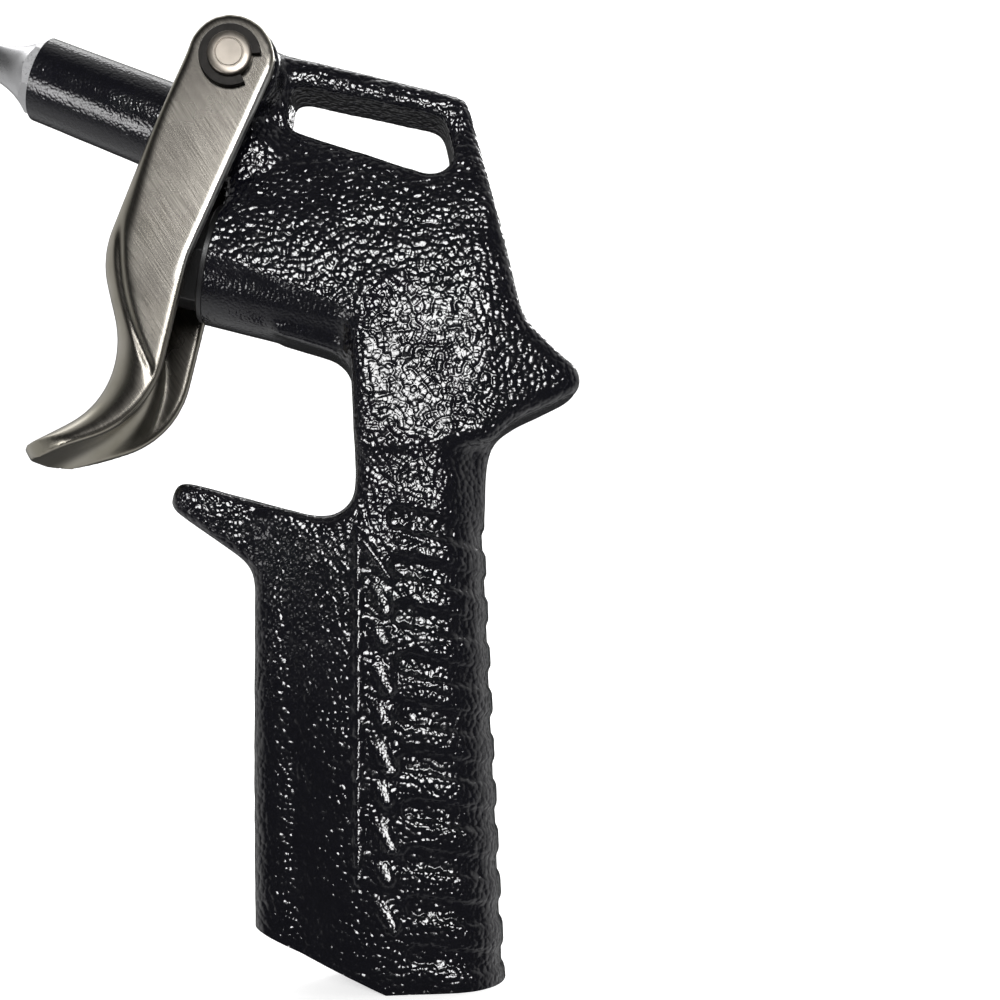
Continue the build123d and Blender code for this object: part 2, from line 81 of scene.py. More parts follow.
# ---- Mesh helpers ----
def object_from(bm, name):
    """Turns a bmesh into a linked object, and frees the bmesh."""
    mesh = bpy.data.meshes.new(name)
    bm.to_mesh(mesh)
    bm.free()
    obj = bpy.data.objects.new(name, mesh)
    bpy.context.scene.collection.objects.link(obj)
    return obj


def turned(profile, matrix, segments=ROUND_SEGMENTS):
    """A closed surface of revolution from (radius, distance) points on a frame's axis."""
    bm = bmesh.new()
    turn = [2 * math.pi * k / segments for k in range(segments)]
    rings = []
    for radius, along in profile:
        if radius == 0:
            rings.append([bm.verts.new((0, 0, along * MM))])
            continue
        r, z = radius * MM, along * MM
        rings.append([bm.verts.new((r * math.cos(a), r * math.sin(a), z)) for a in turn])
    for low, high in zip(rings, rings[1:]):
        for k in range(segments):
            n = (k + 1) % segments
            corners = [low[k % len(low)], low[n % len(low)], high[n % len(high)], high[k % len(high)]]
            bm.faces.new(list(dict.fromkeys(corners)))
    bmesh.ops.recalc_face_normals(bm, faces=bm.faces)
    bmesh.ops.transform(bm, matrix=matrix, verts=bm.verts)
    return bm


def plain_rod(radius, start, end):
    """The profile of a plain cylinder."""
    return [(0, start), (radius, start), (radius, end), (0, end)]


def prism(outline, matrix, start, end):
    """A flat outline, in millimetres, run along a frame's axis."""
    bm = bmesh.new()
    low = [bm.verts.new((x * MM, y * MM, start * MM)) for x, y in outline]
    high = [bm.verts.new((x * MM, y * MM, end * MM)) for x, y in outline]
    bm.faces.new(low)
    bm.faces.new(high)
    for k in range(len(low)):
        n = (k + 1) % len(low)
        bm.faces.new((low[k], low[n], high[n], high[k]))
    bmesh.ops.recalc_face_normals(bm, faces=bm.faces)
    bmesh.ops.transform(bm, matrix=matrix, verts=bm.verts)
    return bm


def close_rings(bm, rings):
    """Joins rings of vertices with faces and closes both ends."""
    for low, high in zip(rings, rings[1:]):
        for k in range(len(low)):
            n = (k + 1) % len(low)
            bm.faces.new((low[k], low[n], high[n], high[k]))
    bm.faces.new(rings[0])
    bm.faces.new(rings[-1])
    bmesh.ops.recalc_face_normals(bm, faces=bm.faces)


def add_into(bm, other):
    """Moves another bmesh's geometry into this one."""
    mesh = bpy.data.meshes.new("scratch")
    other.to_mesh(mesh)
    other.free()
    bm.from_mesh(mesh)
    bpy.data.meshes.remove(mesh)


def take_modifiers(obj):
    """Bakes an object's modifiers into its mesh."""
    evaluated = obj.evaluated_get(bpy.context.evaluated_depsgraph_get())
    mesh = bpy.data.meshes.new_from_object(evaluated)
    obj.modifiers.clear()
    old = obj.data
    obj.data = mesh
    bpy.data.meshes.remove(old)


def combine(obj, bm, operation):
    """A boolean with a tool that is thrown away afterwards."""
    tool = object_from(bm, "tool")
    modifier = obj.modifiers.new("cut", "BOOLEAN")
    modifier.operation = operation
    modifier.object = tool
    modifier.solver = "MANIFOLD"
    bpy.context.view_layer.update()
    take_modifiers(obj)
    mesh = tool.data
    bpy.data.objects.remove(tool)
    bpy.data.meshes.remove(mesh)


def voxelise(obj, size):
    """Rebuilds an object's skin from voxels of a size in millimetres."""
    modifier = obj.modifiers.new("skin", "REMESH")
    modifier.mode = "VOXEL"
    modifier.voxel_size = size * MM
    bpy.context.view_layer.update()
    take_modifiers(obj)


def coordinates(mesh):
    flat = np.empty(len(mesh.vertices) * 3, np.float32)
    mesh.vertices.foreach_get("co", flat)
    return flat.reshape(-1, 3).astype(float)


def store(mesh, points):
    mesh.vertices.foreach_set("co", points.astype(np.float32).ravel())
    mesh.update()


def normals(mesh):
    flat = np.empty(len(mesh.vertices) * 3, np.float32)
    mesh.vertex_normals.foreach_get("vector", flat)
    return flat.reshape(-1, 3).astype(float)


def relax(mesh, weight, rounds):
    """Laplacian smoothing in which each vertex moves by its own weight."""
    ends = np.empty(len(mesh.edges) * 2, np.int32)
    mesh.edges.foreach_get("vertices", ends)
    a, b = ends.reshape(-1, 2).T
    points = coordinates(mesh)
    count = len(points)
    degree = np.bincount(a, minlength=count) + np.bincount(b, minlength=count)
    step = (0.5 * weight / degree)[:, None]
    for _ in range(rounds):
        total = np.empty_like(points)
        for axis in range(3):
            total[:, axis] = np.bincount(a, points[b, axis], count) + np.bincount(b, points[a, axis], count)
        points += step * (total - degree[:, None] * points)
    store(mesh, points)


def soften(mesh, angle):
    mesh.shade_smooth()
    mesh.set_sharp_from_angle(angle=math.radians(angle))


def finish_piece(obj, body, material, slot, *nodes):
    """Gives a piece its material and body, in place of the CAD nodes that it covers. The slot is not used.
    """
    obj.data.materials.clear()
    obj.data.materials.append(material)
    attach(obj, body)
    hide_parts(*nodes)


def ramp(value, start, end):
    """0 before start, 1 after end, smooth between. Works on arrays."""
    t = np.clip((value - start) / (end - start), 0, 1)
    return t * t * (3 - 2 * t)


def fade(value, start, end):
    """1 before start, 0 after end, smooth between."""
    return 1 - ramp(value, start, end)


# ---- Materials ----
class Nodes:
    """A material's node tree with short calls for the nodes used here."""

    def __init__(self, name):
        self.material = bpy.data.materials.new(name)
        self.material.use_nodes = True
        self.tree = self.material.node_tree
        self.shader = self.tree.nodes["Principled BSDF"]

    def node(self, kind, **inputs):
        made = self.tree.nodes.new(kind)
        for key, value in inputs.items():
            self.put(made, key.replace("_", " "), value)
        return made

    def put(self, node, key, value):
        socket = node.inputs[key]
        if isinstance(value, bpy.types.NodeSocket):
            self.tree.links.new(value, socket)
        else:
            socket.default_value = value

    def place(self, stretch=(1, 1, 1), turn=(0, 0, 0)):
        """Object coordinates, turned and then stretched."""
        coordinate = self.node("ShaderNodeTexCoord")
        turned_by = self.node("ShaderNodeMapping")
        turned_by.inputs["Rotation"].default_value = [math.radians(t) for t in turn]
        self.tree.links.new(coordinate.outputs["Object"], turned_by.inputs["Vector"])
        stretched = self.node("ShaderNodeMapping")
        stretched.inputs["Scale"].default_value = stretch
        self.tree.links.new(turned_by.outputs["Vector"], stretched.inputs["Vector"])
        return stretched.outputs["Vector"]

    def noise(self, vector, size, detail=2.0, rough=0.5):
        made = self.node("ShaderNodeTexNoise", Vector=vector, Scale=1 / (size * MM),
                         Detail=detail, Roughness=rough)
        return made.outputs["Fac"]

    def cells(self, vector, size, smooth):
        made = self.node("ShaderNodeTexVoronoi", Vector=vector, Scale=1 / (size * MM))
        made.feature = "SMOOTH_F1"
        made.inputs["Smoothness"].default_value = smooth
        return made.outputs["Distance"]

    def spread(self, value, low, high, start=0.0, end=1.0):
        made = self.node("ShaderNodeMapRange", Value=value)
        made.inputs["From Min"].default_value = start
        made.inputs["From Max"].default_value = end
        made.inputs["To Min"].default_value = low
        made.inputs["To Max"].default_value = high
        return made.outputs["Result"]

    def maths(self, operation, a, b):
        made = self.node("ShaderNodeMath")
        made.operation = operation
        self.put(made, 0, a)
        self.put(made, 1, b)
        return made.outputs["Value"]

    def mix(self, share, dark, light):
        made = self.node("ShaderNodeMix")
        made.data_type = "RGBA"
        for key, value in (("Factor", share), ("A", dark), ("B", light)):
            socket = next(s for s in made.inputs if s.name == key and s.enabled)
            if isinstance(value, bpy.types.NodeSocket):
                self.tree.links.new(value, socket)
            else:
                socket.default_value = value if key == "Factor" else (*value, 1)
        return next(s for s in made.outputs if s.enabled)

    def bump(self, height, depth):
        made = self.node("ShaderNodeBump", Height=height, Strength=1.0, Distance=depth * MM)
        return made.outputs["Normal"]

    def set(self, **inputs):
        for key, value in inputs.items():
            name = key.replace("_", " ")
            if name == "Base Color" and not isinstance(value, bpy.types.NodeSocket):
                value = (*value, 1)
            self.put(self.shader, name, value)
        return self.material


# Parts of a noise's range that a spread takes: nearly all of it, and its busy middle.
WIDE = (0.3, 0.7)
MIDDLE = (0.35, 0.65)

DOME_EASE = 0.4
SWELL_SIZE = 0.85  # of a blister's size
DRIFT_SIZE, DRIFT = 7.0, (0.8, 1.2)
TINT_SIZE = 4.0
ENAMEL_DARK, ENAMEL_LIGHT = (0.002, 0.002, 0.0035), (0.0035, 0.0035, 0.0055)
GLOSS_SIZE, ENAMEL_ROUGHNESS = 2.2, (0.13, 0.19)
ENAMEL_IOR = 1.6


def hammertone(name, size, depth, swell_share):
    """Gloss black enamel: each blister is a small round dome, on a gentle swell."""
    n = Nodes(name)
    at = n.place()
    blister = n.cells(at, size, DOME_EASE)
    dome = n.maths("MULTIPLY", blister, blister)
    swell = n.noise(at, SWELL_SIZE * size, 0.0)
    height = n.maths("SUBTRACT", n.maths("MULTIPLY", swell, swell_share), dome)
    drift = n.spread(n.noise(at, DRIFT_SIZE, 1.0), *DRIFT, *MIDDLE)
    tint = n.mix(n.noise(at, TINT_SIZE), ENAMEL_DARK, ENAMEL_LIGHT)
    rough = n.spread(n.noise(at, GLOSS_SIZE), *ENAMEL_ROUGHNESS, *MIDDLE)
    normal = n.bump(n.maths("MULTIPLY", height, drift), depth)
    return n.set(Base_Color=tint, Roughness=rough, Normal=normal, IOR=ENAMEL_IOR)


SCRATCH_TURN = -60.0
SCRATCH_STRETCH = (0.03, 1, 1)
SCRATCH_SIZE = 0.2
SCRATCH_RANGE = (0.34, 0.66)
CLOUD_SIZE = 6.0
FLANK_FACING = (0.9, 0.985)
SATIN_BRIGHT, SATIN_DARK, SATIN_RANGE = (0.42, 0.395, 0.34), (0.32, 0.3, 0.245), (0.35, 0.7)
# The flat flanks' colour: brushed lines, and painted shade that keeps the flanks much darker than the bends.
BRUSHED_SHADE_DARK, BRUSHED_SHADE_BRIGHT = (0.082, 0.076, 0.067), (0.162, 0.152, 0.135)
# Colour of the painted highlight along the lever's rear edge.
PAINTED_EDGE_HIGHLIGHT = (0.6, 0.595, 0.57)
LEVER_ROUGHNESS = (0.28, 0.32)
FLANK_SMOOTHER = 0.04
# Coordinates turned with the lever: its rear line across, and places along it.
EAR_TURN = -27.0
EAR_REAR = -73.9
# Width, spread and end fades of the painted highlight along the rear edge.
EDGE_WIDTH = 0.55
EDGE_GLOW = 0.6
EDGE_FADE = 3.0
KNEE_ALONG = 76.5
EAR_TOP_ALONG = 107.0


def lever_steel():
    """Steel with scratches and painted shade on the flat flanks, satin bends, and a painted highlight along
    the rear edge.
    """
    n = Nodes("brushed_lever_steel")
    scratch = n.noise(n.place(SCRATCH_STRETCH, (0, SCRATCH_TURN, 0)), SCRATCH_SIZE, 3.0, 0.6)
    cloud = n.noise(n.place(), CLOUD_SIZE, 3.0)
    facing = n.node("ShaderNodeSeparateXYZ", Vector=n.node("ShaderNodeTexCoord").outputs["Normal"])
    flank = n.spread(n.maths("ABSOLUTE", facing.outputs["Y"], 0), 0, 1, *FLANK_FACING)
    lines = n.spread(scratch, 0, 1, *SCRATCH_RANGE)
    satin = n.mix(n.spread(cloud, 0, 1, *SATIN_RANGE), SATIN_BRIGHT, SATIN_DARK)
    # Painted shade: the flat flanks take the darker brushed colour, the bends the satin one.
    base = n.mix(flank, satin, n.mix(lines, BRUSHED_SHADE_DARK, BRUSHED_SHADE_BRIGHT))
    split = n.node("ShaderNodeSeparateXYZ", Vector=n.place((1, 1, 1), (0, EAR_TURN, 0)))
    across, along = split.outputs["X"], split.outputs["Z"]
    # A painted highlight: a pale colour along the rear edge, between the knee and the top of the ears.
    edge_start = EAR_REAR - EDGE_WIDTH
    rear = n.spread(across, 0, 1, (edge_start - EDGE_GLOW) * MM, edge_start * MM)
    over = n.spread(along, 0, 1, (KNEE_ALONG - EDGE_FADE) * MM, (KNEE_ALONG + EDGE_FADE) * MM)
    under = n.spread(along, 1, 0, (EAR_TOP_ALONG - EDGE_FADE) * MM, EAR_TOP_ALONG * MM)
    edge = n.maths("MULTIPLY", n.maths("MULTIPLY", rear, rear), n.maths("MULTIPLY", over, under))
    base = n.mix(edge, base, PAINTED_EDGE_HIGHLIGHT)
    smoother = n.maths("MULTIPLY", flank, FLANK_SMOOTHER)
    level = n.maths("SUBTRACT", n.spread(cloud, *LEVER_ROUGHNESS, *MIDDLE), smoother)
    return n.set(Base_Color=base, Metallic=1.0, Roughness=level, Normal=n.bump(lines, 0.002))


METAL_SHADE = 0.8
MOULDED_SHADE = 0.7


def turned_metal(name, colour, rough=(0.2, 0.34), grain=0.012):
    """Turned metal: faint marks and a little cloudiness."""
    n = Nodes(name)
    at = n.place()
    fine = n.noise(at, 0.25, 3.0, 0.6)
    cloud = n.noise(at, 2.5, 2.0)
    base = n.mix(n.spread(cloud, 0, 1, *WIDE), tuple(c * METAL_SHADE for c in colour), colour)
    return n.set(Base_Color=base, Metallic=1.0, Roughness=n.spread(fine, *rough, *WIDE),
                 Normal=n.bump(fine, grain))


def moulded(name, colour, rough, grain=0.02):
    """Satin moulded plastic or rubber."""
    n = Nodes(name)
    at = n.place()
    fine = n.noise(at, 0.3, 2.0)
    cloud = n.noise(at, 3.0, 2.0)
    base = n.mix(n.spread(cloud, 0, 1, *WIDE), tuple(c * MOULDED_SHADE for c in colour), colour)
    return n.set(Base_Color=base, Roughness=n.spread(fine, *rough, *WIDE), Normal=n.bump(fine, grain))


ENAMEL = hammertone("hammertone_enamel", 0.78, 0.2, 0.4)
FINE_ENAMEL = hammertone("fine_enamel", 0.42, 0.042, 0.6)
LEVER_STEEL = lever_steel()
PIN_STEEL = turned_metal("pin_steel", (0.3, 0.27, 0.235), (0.3, 0.42), 0.006)
CLIP_STEEL = turned_metal("clip_black_steel", (0.02, 0.019, 0.018), (0.35, 0.5))
CAP_BLACK = moulded("cap_satin_black", (0.016, 0.016, 0.017), (0.3, 0.4), 0.008)
RUBBER = moulded("seal_rubber", (0.02, 0.02, 0.02), (0.5, 0.65))
BRASS = turned_metal("turned_brass", (0.78, 0.58, 0.28))
PLATED = turned_metal("zinc_plate", (0.62, 0.62, 0.64))
SPRING_WIRE = turned_metal("spring_wire", (0.5, 0.5, 0.52))
ALUMINIUM = turned_metal("nozzle_aluminium", (0.6, 0.6, 0.61), (0.26, 0.36), 0.003)


# ---- Body casting ----
SKIN = 0.44
EVEN_ROUNDS = 4  # of smoothing everywhere, to take the voxels' steps off
ROUNDING = 1.35  # the spread of the edge smoothing
PLUG = 0.3
RUN_ON = 4.0

VALVE_BORES = [(7.0, -RUN_ON, 5.2), (6.2, 0.0, 22.0), (5.0, 0.0, 36.0)]
BARREL_BORES = [(4.9, -RUN_ON, 1.6), (4.0, -RUN_ON, 10.0), (2.6, 0.0, 47.0)]
INLET_BORES = [(5.9, -2 * RUN_ON, 13.0), (4.0, 0.0, 96.0)]
PASSAGE_START, PASSAGE_END, PASSAGE_R = (-19.5, 106.3), (-9.5, 113.5), 2.0
PIN_HOLE_R = 3.02
PIN_HOLE_REACH = 12.0
PIN_PLUG_REACH = 9.5
FOOT_LINE = [(-50.0, 20.8), (-8.4, 0.0), (30.0, 0.0)]
FOOT_CUT_Z = -30.0
FOOT_CUT_HALF = 20.0
FOOT_TOP_Z = 11.5
FOOT_FACING = -0.15
BARREL_TRIM_R = 9.0
VALVE_TRIM_R = 12.0
CASTING_SHARP = 50
MERGE_DISTANCE = 1e-7  # metres
FLAT_FACING = 0.995
FLAT_TOLERANCE = 1e-5  # metres


def stepped_bore(bores, grow):
    """The outline of coaxial bores, widest first, as one turned shape."""
    points = [(0, bores[0][1])]
    for k, (radius, _, end) in enumerate(bores):
        start = bores[0][1] if k == 0 else bores[k - 1][2] + grow
        points += [(radius + grow, start), (radius + grow, end + grow)]
    return points + [(0, points[-1][1])]


def bore_tools(grow=0.0):
    """A solid for each bore. With grow they are plugs, a little wider and closed, for the smoothing."""
    (x0, z0), (x1, z1) = PASSAGE_START, PASSAGE_END
    tilt = math.degrees(math.atan2(z1 - z0, x1 - x0))
    run = math.hypot(x1 - x0, z1 - z0)
    reach = PIN_HOLE_REACH if grow == 0 else PIN_PLUG_REACH
    return [
        turned(stepped_bore(VALVE_BORES, grow), VALVE),
        turned(stepped_bore(BARREL_BORES, grow), BARREL),
        turned(stepped_bore(INLET_BORES, grow), INLET),
        turned(plain_rod(PASSAGE_R + grow, 0, run), axis_matrix((x0, z0), tilt), 48),
        turned(plain_rod(PIN_HOLE_R + grow, -reach, reach), CROSS),
    ]


def run_on(bm, chosen, direction, distance):
    """Extends flat ends of the casting, so that they can be cut flat after smoothing."""
    faces = [f for f in bm.faces if chosen(f)]
    made = bmesh.ops.extrude_face_region(bm, geom=faces)
    moved = [g for g in made["geom"] if isinstance(g, bmesh.types.BMVert)]
    bmesh.ops.translate(bm, verts=moved, vec=direction * distance * MM)


def flat_end(matrix):
    """A test for the faces of the flat end at a frame's origin, and that end's outward direction."""
    outward = -(matrix.to_3x3() @ Vector((0, 0, 1)))
    origin = matrix.translation

    def chosen(face):
        height = (face.calc_center_median() - origin).dot(outward)
        return face.normal.dot(outward) > FLAT_FACING and abs(height) < FLAT_TOLERANCE

    return chosen, outward


def distance_from_axis(points, matrix):
    """Each point's distance from a frame's axis and its place along it, in millimetres."""
    local = (points - np.array(matrix.translation)) @ np.array(matrix.to_3x3()) / MM
    return np.hypot(local[:, 0], local[:, 1]), local[:, 2]


# Where turned and thin parts keep sharper edges: where each zone fades, and how much sharper it is.
BARREL_ZONE_R, BARREL_ZONE_ALONG, BARREL_SHARPER = (7.2, 9.0), (17, 24), 0.85
HOUSING_ZONE_R, HOUSING_ZONE_ALONG, HOUSING_SHARPER = (9.6, 11.5), (8, 22), 0.8
HOUSING_ZONE_X = (-40, -39)
BOSS_ZONE_R, BOSS_ZONE_Y, BOSS_SHARPER = (7.5, 9.0), (6.2, 7.5), 0.9
SLOT_CENTRE, SLOT_FALL = (-4, 121.2), -0.34
SLOT_FRONT_X, SLOT_REAR_X, SLOT_HALF, SLOT_SHARPER = (-20, -17), (8.5, 10.5), (5.2, 7.0), 0.75
PRONG_X, PRONG_LOW_Z, PRONG_HIGH_Z, PRONG_SHARPER = (-27, -23), (58, 62), (76, 80), 0.6


def edge_weight(points):
    """How strongly each part of the casting is rounded: fully on head and grip, little on turned parts."""
    x, y, z = points.T / MM
    weight = np.ones(len(points))
    from_barrel, along_barrel = distance_from_axis(points, BARREL)
    weight *= 1 - BARREL_SHARPER * fade(from_barrel, *BARREL_ZONE_R) * fade(along_barrel, *BARREL_ZONE_ALONG)
    from_valve, along_valve = distance_from_axis(points, VALVE)
    housing = fade(from_valve, *HOUSING_ZONE_R) * fade(along_valve, *HOUSING_ZONE_ALONG)
    weight *= 1 - HOUSING_SHARPER * housing * ramp(x, *HOUSING_ZONE_X)
    from_pin = np.hypot(x - PIVOT[0], z - PIVOT[1])
    weight *= 1 - BOSS_SHARPER * fade(from_pin, *BOSS_ZONE_R) * ramp(np.abs(y), *BOSS_ZONE_Y)
    slot_middle = SLOT_FALL * (x - SLOT_CENTRE[0]) + SLOT_CENTRE[1]
    in_slot = ramp(x, *SLOT_FRONT_X) * fade(x, *SLOT_REAR_X) * fade(np.abs(z - slot_middle), *SLOT_HALF)
    weight *= 1 - SLOT_SHARPER * in_slot
    prong = fade(x, *PRONG_X) * ramp(z, *PRONG_LOW_Z) * fade(z, *PRONG_HIGH_Z)
    return weight * (1 - PRONG_SHARPER * prong)


RIB_COUNT = 10
RIB_DEPTH = 0.42
POCKET_DEPTH = 0.62
RIB_HALF = 1.75
RIB_EASE = (0.75, 0.35)  # inside and outside a groove's half width
RIB_START_X = -5.3
# The grooves fan a little: heights and spacing at the grip's back and at their front ends.
RIB_REAR_Z, RIB_REAR_STEP = 3.3, 6.58
RIB_FRONT_Z, RIB_FRONT_STEP = 4.9, 6.72
RIB_FAN_X, RIB_FAN_RUN, RIB_FAN_PAST = -0.5, 9.3, -0.3
GRIP_FOOT_Z, GRIP_TOP_Z = (-2, 0), (70, 72)
FLANK_TURN = (0.7, 0.9)

RIDGE_TOP = (-9.3, 64.3)
RIDGE_FOOT = (-11.5, 16.2)
RIDGE_HALF = 0.45
RIDGE_EASE = (0.2, 0.45)
RIDGE_STEP = 3.0
SHOULDER_RUN = (4.2, -6.5)
SHOULDER_FADE = (0.25, 0.9)
RELIEF_HEIGHT = 0.45
FACET_SLOPE = 0.21
BAR_COUNT = 9
BAR_TOP, BAR_RUN = (-6.6, 55.5), (-1.3, -44.0)
BAR_HALF_LENGTH = 2.2
BAR_SHORT_SHARE = 0.45
BAR_HALF_WIDTH = 1.15
BAR_HEIGHT = 0.5
BAR_LEAN = 26.0
BAR_CREST = 0.5

TAPER_START_X = -8.6
TAPER_END_X = -20.0
TAPER_TOP_Z = (56, 74)
FRONT_TAPER = 0.24
HEAD_HALF = 8.8
HOOK_HALF = 4.5
HEAD_CURVE_START_Z = 94.0
HEAD_CURVE_X = (-26, -16)
HEAD_FLAT_END_Z = 107.0
HEAD_TOP_Z = 121.0
HOUSING_R = 9.4
CREASE_FRONT = (-28.1, 104.2)
CREASE_REAR = (-10.0, 95.6)
CREASE_EASE = 0.4
# The flat above the crease: where it fades upwards, outwards, in front and behind.
CHEEK_TOP_Z, CHEEK_HALF, CHEEK_FRONT_X, CHEEK_REAR_X = (109, 114), (6.4, 7.6), (-29.5, -28.5), (-11, -7)

# The zones of finer enamel, just larger than what they cover.
FINE_BARREL_R, FINE_BARREL_END, FINE_BARREL_X = 7.4, 26, -31
FINE_HOUSING_R, FINE_HOUSING_END, FINE_HOUSING_X = 10.2, 21, -9.6
MARKED_HEIGHT, MARKED_HALF, MARKED_Z = 0.2, 6, 2
RIPPLE = 0.07
RIPPLE_SIZE = 2.6
FINE_RIPPLE_SHARE = 0.25


def near_segment(x, z, start, end):
    """Distance in the mirror plane from a straight run."""
    run = np.array(end) - np.array(start)
    t = np.clip(((x - start[0]) * run[0] + (z - start[1]) * run[1]) / (run @ run), 0, 1)
    return np.hypot(x - start[0] - t * run[0], z - start[1] - t * run[1])


def markings(x, z):
    """Height of the raised ridge and bars on each flank, in facets that lean a little upwards."""
    stepped = RELIEF_HEIGHT - FACET_SLOPE * (z % RIDGE_STEP - RIDGE_STEP / 2)
    ridge = near_segment(x, z, RIDGE_TOP, RIDGE_FOOT)
    raised = stepped * fade(ridge, RIDGE_HALF - RIDGE_EASE[0], RIDGE_HALF + RIDGE_EASE[1])
    shoulder_end = (RIDGE_TOP[0] + SHOULDER_RUN[0], RIDGE_TOP[1] + SHOULDER_RUN[1])
    shoulder = near_segment(x, z, RIDGE_TOP, shoulder_end)
    raised = np.maximum(raised, RELIEF_HEIGHT * fade(shoulder, *SHOULDER_FADE))
    lean = math.radians(BAR_LEAN)
    for k in range(BAR_COUNT):
        share = k / (BAR_COUNT - 1)
        centre = np.array([BAR_TOP[0] + BAR_RUN[0] * share, BAR_TOP[1] + BAR_RUN[1] * share])
        length = BAR_HALF_LENGTH * (1.0 if k % 2 == 0 else BAR_SHORT_SHARE)
        half = length * np.array([-math.sin(lean), math.cos(lean)])
        bar = 1 - (near_segment(x, z, centre - half, centre + half) / BAR_HALF_WIDTH) ** 2
        tilted = BAR_HEIGHT - FACET_SLOPE * (z - centre[1])
        raised = np.maximum(raised, tilted * ramp(bar, 0, BAR_CREST))
    return raised


def relief(points, facing):
    """Height of the cast detail on the grip: grooves behind, the ridge and bars in front."""
    x, _, z = points.T / MM
    height = np.zeros(len(points))
    on_grip = ramp(z, *GRIP_FOOT_Z) * fade(z, *GRIP_TOP_Z)
    fan = np.clip((x - RIB_FAN_X) / RIB_FAN_RUN, RIB_FAN_PAST, 1)
    for k in range(RIB_COUNT):
        rear = RIB_REAR_Z + RIB_REAR_STEP * k
        front = RIB_FRONT_Z + RIB_FRONT_STEP * k
        off = z - (front + (rear - front) * fan)
        round_end = np.hypot(x - RIB_START_X - RIB_HALF, off)
        reach = np.where(x < RIB_START_X + RIB_HALF, round_end, np.abs(off))
        height -= fade(reach, RIB_HALF - RIB_EASE[0], RIB_HALF + RIB_EASE[1])
    side = ramp(np.abs(facing[:, 1]), *FLANK_TURN)
    height *= RIB_DEPTH + (POCKET_DEPTH - RIB_DEPTH) * side
    return (height + markings(x, z) * side) * on_grip


def crease_height(x):
    """Where the flat of the head meets the round underside of the valve housing."""
    (x0, z0), (x1, z1) = CREASE_FRONT, CREASE_REAR
    return z0 + (z1 - z0) * (x - x0) / (x1 - x0)


def narrowed(points):
    """Rounder flanks: the grip closes in forwards of the ridge, and the head upwards along a curve."""
    x, y, z = points.T / MM
    forwards = np.clip((TAPER_START_X - x) / (TAPER_START_X - TAPER_END_X), 0, 1)
    grip = 1 - FRONT_TAPER * forwards ** 2 * fade(z, *TAPER_TOP_Z)
    straight = np.interp(z, (HEAD_FLAT_END_Z, HEAD_TOP_Z), (HEAD_HALF, HOOK_HALF))
    upwards = np.clip((z - HEAD_CURVE_START_Z) / (HEAD_TOP_Z - HEAD_CURVE_START_Z), 0, 1)
    curved = HEAD_HALF - (HEAD_HALF - HOOK_HALF) * upwards ** 2
    head = 1 + (curved / straight - 1) * ramp(x, *HEAD_CURVE_X)
    half = np.abs(y * grip * head)
    forward_share = np.clip((CREASE_REAR[0] - x) / (CREASE_REAR[0] - CREASE_FRONT[0]), 0, 1)
    flat = (HEAD_HALF + (HOUSING_R - HEAD_HALF) * forward_share) * curved / HEAD_HALF
    above = ramp(z - crease_height(x), -CREASE_EASE, CREASE_EASE)
    zone = above * fade(z, *CHEEK_TOP_Z) * ramp(half, *CHEEK_HALF)
    zone *= ramp(x, *CHEEK_FRONT_X) * fade(x, *CHEEK_REAR_X)
    return np.stack([x, np.sign(y) * (half + (flat - half) * zone), z], axis=1) * MM


def ripple(points):
    """The slight waviness of a thick enamel coat."""
    scale = 1 / (RIPPLE_SIZE * MM)
    waves = np.array([noise.noise(Vector(p)) for p in (points * scale).tolist()])
    return RIPPLE * waves * np.where(fine_zone(points), FINE_RIPPLE_SHARE, 1.0)


def face_values(mesh, name):
    """One vector for each face of a mesh."""
    flat = np.empty(len(mesh.polygons) * 3, np.float32)
    mesh.polygons.foreach_get(name, flat)
    return flat.reshape(-1, 3).astype(float)


def second_material(mesh, material, chosen):
    """Gives the chosen faces a second material."""
    mesh.materials.append(material)
    mesh.polygons.foreach_set("material_index", chosen.astype(np.int32))
    mesh.update()


def fine_zone(points):
    """Where the enamel is finer: the barrel, the valve housing's lower half and the raised markings."""
    x, y, z = points.T / MM
    from_barrel, along_barrel = distance_from_axis(points, BARREL)
    barrel = (from_barrel < FINE_BARREL_R) & (along_barrel < FINE_BARREL_END) & (x < FINE_BARREL_X)
    from_valve, along_valve = distance_from_axis(points, VALVE)
    below = (z < crease_height(x)) & (x < FINE_HOUSING_X)
    housing = (from_valve < FINE_HOUSING_R) & (along_valve < FINE_HOUSING_END) & below
    marked = (markings(x, z) > MARKED_HEIGHT) & (np.abs(y) > MARKED_HALF) & (z > MARKED_Z)
    return barrel | housing | marked


